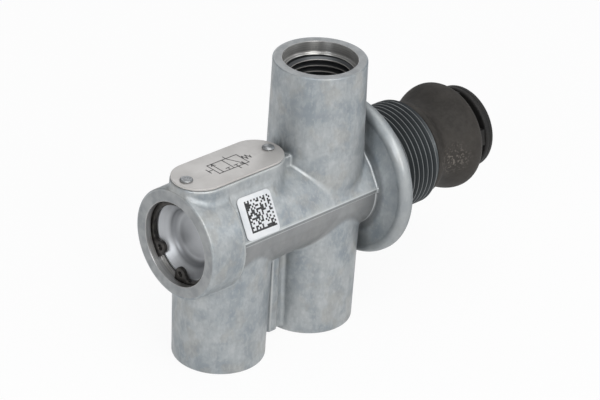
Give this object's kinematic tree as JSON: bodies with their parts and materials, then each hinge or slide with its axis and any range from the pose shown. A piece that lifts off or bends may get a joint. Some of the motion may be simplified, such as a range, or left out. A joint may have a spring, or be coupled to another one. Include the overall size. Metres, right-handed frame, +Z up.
{
  "type": "pneumatic directional valve",
  "caption": "Push-button spool valve for compressed air, with ports above and below a die-cast body, a panel flange with a threaded neck, and a booted button.",
  "frame": {"origin": "centre of the lowest plane, which is the plane of the two lower port faces, midway along the whole valve", "axes": "+X along the spool axis from the plugged end towards the push button, +Z up towards the upper port"},
  "size_m": [0.094, 0.04, 0.0676],
  "materials": {
    "die_cast_body": "blasted matt aluminium die casting",
    "turned_plug": "fine turned",
    "spring_steel": "drawn wire",
    "black_steel": "phosphated and oiled",
    "spool_metal": "anodised",
    "stem_steel": "ground",
    "bush_brass": "turned",
    "seal_rubber": "smooth moulded",
    "boot_rubber": "matt moulded with pale scuffs",
    "button_plastic": "moulded",
    "plate_metal": "satin rolled sheet",
    "rivet_metal": "cold headed",
    "label_film": "printed film"
  },
  "bodies": {
    "housing": {"valve_body": "die_cast_body", "end_plug": "turned_plug", "end_plug_seal": "seal_rubber", "retaining_ring": "black_steel", "return_spring": "spring_steel", "guide_bush": "bush_brass", "guide_bush_seal": "seal_rubber", "stem_seal": "seal_rubber", "seal_washer": "turned_plug", "bush_retaining_ring": "black_steel", "rubber_boot": "boot_rubber", "nameplate": "plate_metal", "rivet_front": "rivet_metal", "rivet_rear": "rivet_metal", "code_label": "label_film"},
    "plunger_group": {"spool": "spool_metal", "spool_seal_middle": "seal_rubber", "spool_seal_rear": "seal_rubber", "plunger": "stem_steel", "push_button": "button_plastic"}
  },
  "joints": [
    {"name": "button_push", "type": "slide", "parent": "housing", "child": "plunger_group", "axis": [-1, 0, 0], "range_m": [0, 0.006], "stiffness_N_per_m": 1800, "springref_m": -0.006, "deforming": ["return_spring", "rubber_boot"]}
  ]
}
